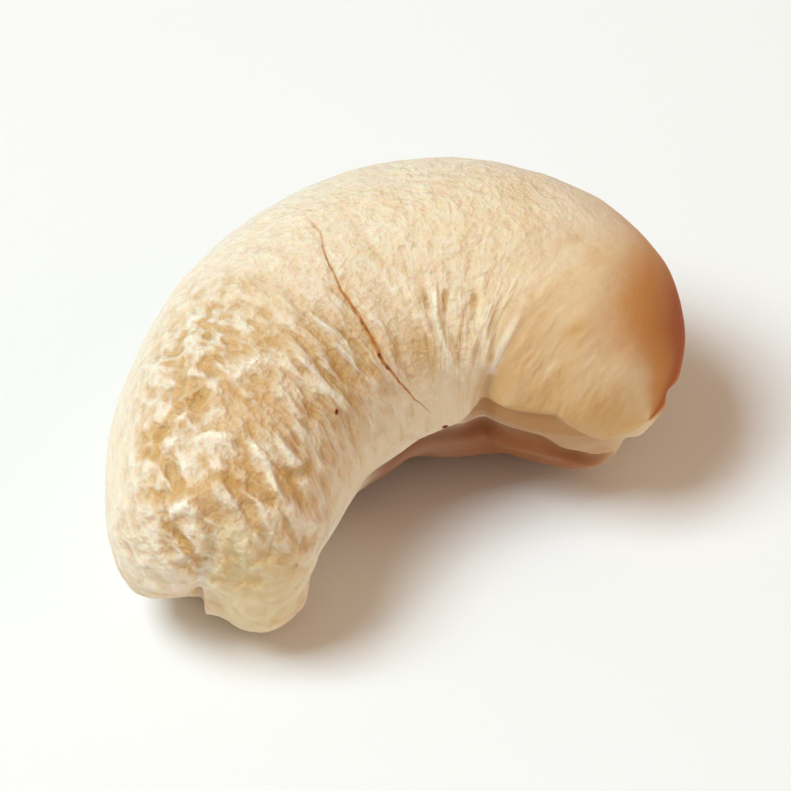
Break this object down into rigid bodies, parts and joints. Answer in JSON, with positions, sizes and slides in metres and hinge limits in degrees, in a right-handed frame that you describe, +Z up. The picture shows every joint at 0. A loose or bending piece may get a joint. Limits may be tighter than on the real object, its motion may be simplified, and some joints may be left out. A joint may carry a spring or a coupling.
{
  "type": "cashew kernel",
  "caption": "Curved kidney-shaped nut kernel lying on its flank, with a seam round the edge, a lipped hollow side, a grooved germ tip and a rounded blunt end",
  "frame": {"origin": "on the surface under the kernel, below the middle of its box", "axes": "+X from the germ tip to the blunt end, -Y is the side the hollow opens to, +Z up from the surface it lies on"},
  "size_m": [0.0258, 0.0156, 0.0132],
  "materials": {
    "kernel_flesh": "matte cream flesh with a faint waxy sheen"
  },
  "bodies": {
    "root": {"kernel": "kernel_flesh"}
  },
  "joints": []
}
